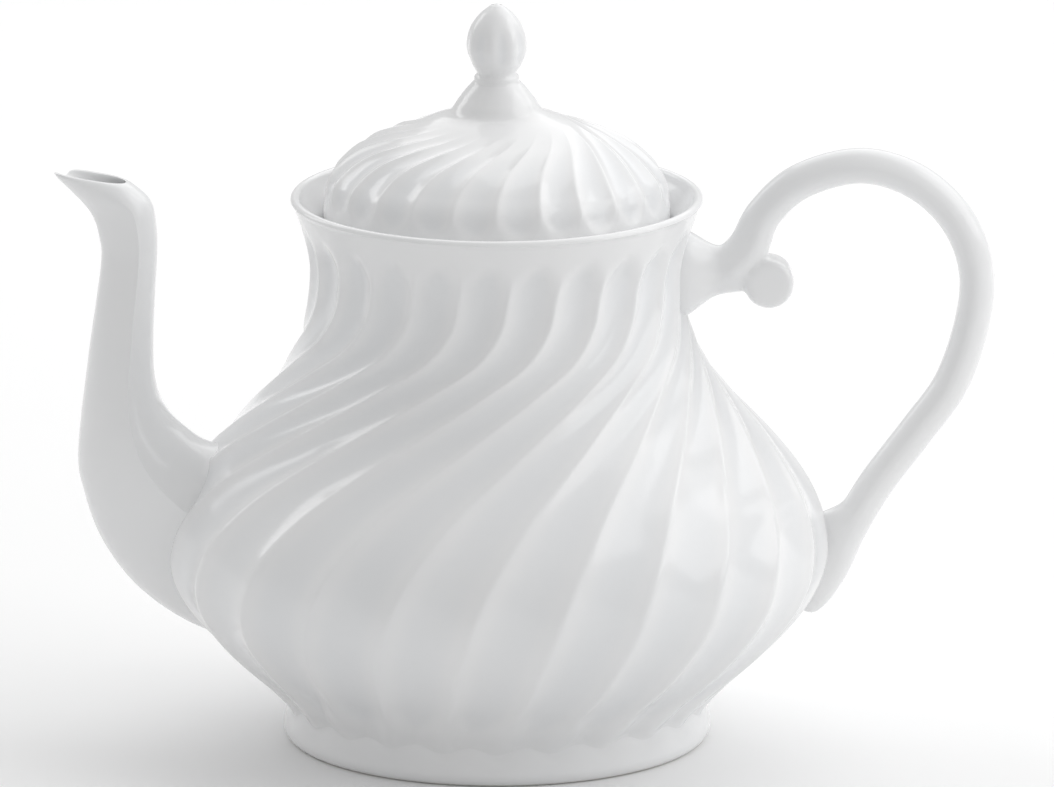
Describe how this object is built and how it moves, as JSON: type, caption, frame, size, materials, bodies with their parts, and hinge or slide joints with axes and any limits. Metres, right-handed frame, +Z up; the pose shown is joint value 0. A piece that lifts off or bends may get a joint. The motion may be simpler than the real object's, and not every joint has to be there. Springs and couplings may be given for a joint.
{
  "type": "teapot",
  "caption": "Spirally fluted porcelain teapot on a foot ring, with a swan-neck spout, a scrolled loop handle and a lift-off domed lid with a bud knob.",
  "frame": {"origin": "on the surface that the pot stands on, midway between the spout's tip and the back of the handle", "axes": "+Z up; +X from the spout towards the handle; the pot's own axis is parallel to +Z, 6.4 mm towards the spout"},
  "size_m": [0.226, 0.1596, 0.1801],
  "materials": {
    "pot_glaze": "glossy clear glaze over white porcelain",
    "foot_glaze": "glossy clear glaze, wiped from the face it stands on",
    "spout_glaze": "glossy clear glaze over white porcelain",
    "handle_glaze": "glossy clear glaze over white porcelain",
    "lid_glaze": "glossy clear glaze over white porcelain",
    "knob_glaze": "glossy clear glaze over white porcelain",
    "bisque": "smooth polished unglazed porcelain"
  },
  "bodies": {
    "pot": {"pot_body": "pot_glaze", "foot_ring": "foot_glaze", "spout": "spout_glaze", "handle": "handle_glaze"},
    "lid": {"lid": "lid_glaze", "lid_flange": "bisque", "lid_lug": "bisque", "lid_knob": "knob_glaze"}
  },
  "joints": [
    {"name": "lid_lift", "type": "slide", "parent": "pot", "child": "lid", "axis": [0, 0, 1], "range_m": [0, 0.05]}
  ]
}
